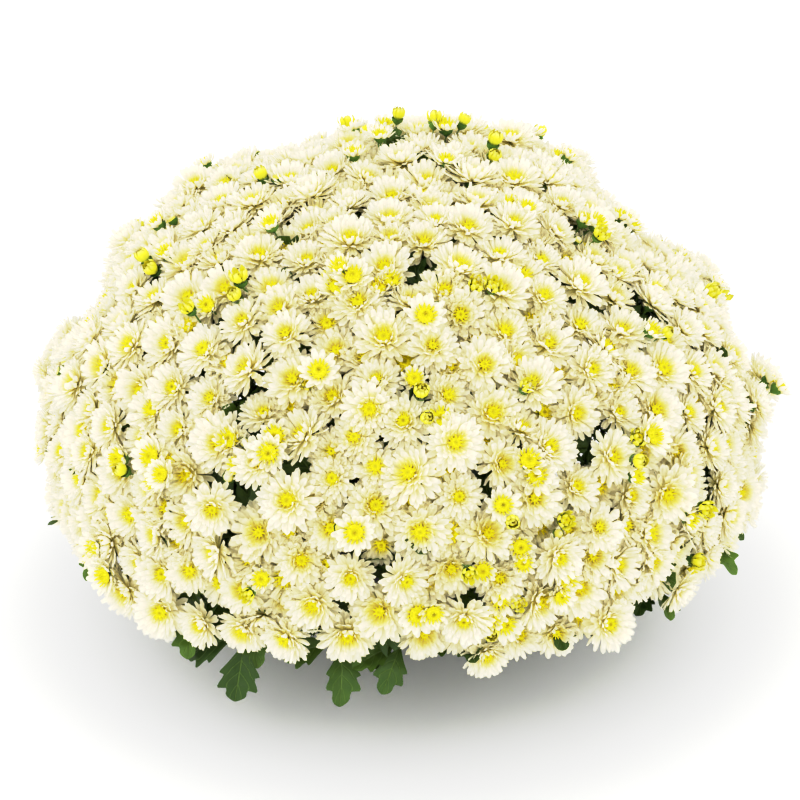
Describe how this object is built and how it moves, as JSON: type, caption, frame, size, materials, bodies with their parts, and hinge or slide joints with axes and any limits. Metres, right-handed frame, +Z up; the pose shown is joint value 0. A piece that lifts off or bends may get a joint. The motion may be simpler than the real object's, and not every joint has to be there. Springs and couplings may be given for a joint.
{
  "type": "pot chrysanthemum",
  "caption": "Dome of cream daisy heads on branching leafy plants, in a plain tapered nursery pot with a rolled rim, filled with soil.",
  "frame": {"origin": "middle of the pot's flat base, on the surface it stands on", "axes": "+Z up through the middle of the pot and the dome; the picture looks along +Y, from above"},
  "size_m": [0.599, 0.5982, 0.4004],
  "materials": {
    "pot_plastic": "satin",
    "potting_soil": "matte",
    "green_plant": "satin",
    "cream_petals": "matte"
  },
  "bodies": {
    "root": {"pot": "pot_plastic", "soil": "potting_soil", "plant_1": "green_plant", "plant_2": "green_plant", "plant_3": "green_plant", "plant_4": "green_plant", "plant_5": "green_plant", "spray_01": "cream_petals", "spray_02": "cream_petals", "spray_03": "cream_petals", "spray_04": "cream_petals", "spray_05": "cream_petals", "spray_06": "cream_petals", "spray_07": "cream_petals", "spray_08": "cream_petals", "spray_09": "cream_petals", "spray_10": "cream_petals", "spray_11": "cream_petals", "spray_12": "cream_petals", "spray_13": "cream_petals", "spray_14": "cream_petals", "spray_15": "cream_petals", "spray_16": "cream_petals", "spray_17": "cream_petals", "spray_18": "cream_petals", "spray_19": "cream_petals", "spray_20": "cream_petals", "spray_21": "cream_petals", "spray_22": "cream_petals", "spray_23": "cream_petals", "spray_24": "cream_petals", "spray_25": "cream_petals", "spray_26": "cream_petals"}
  },
  "joints": []
}
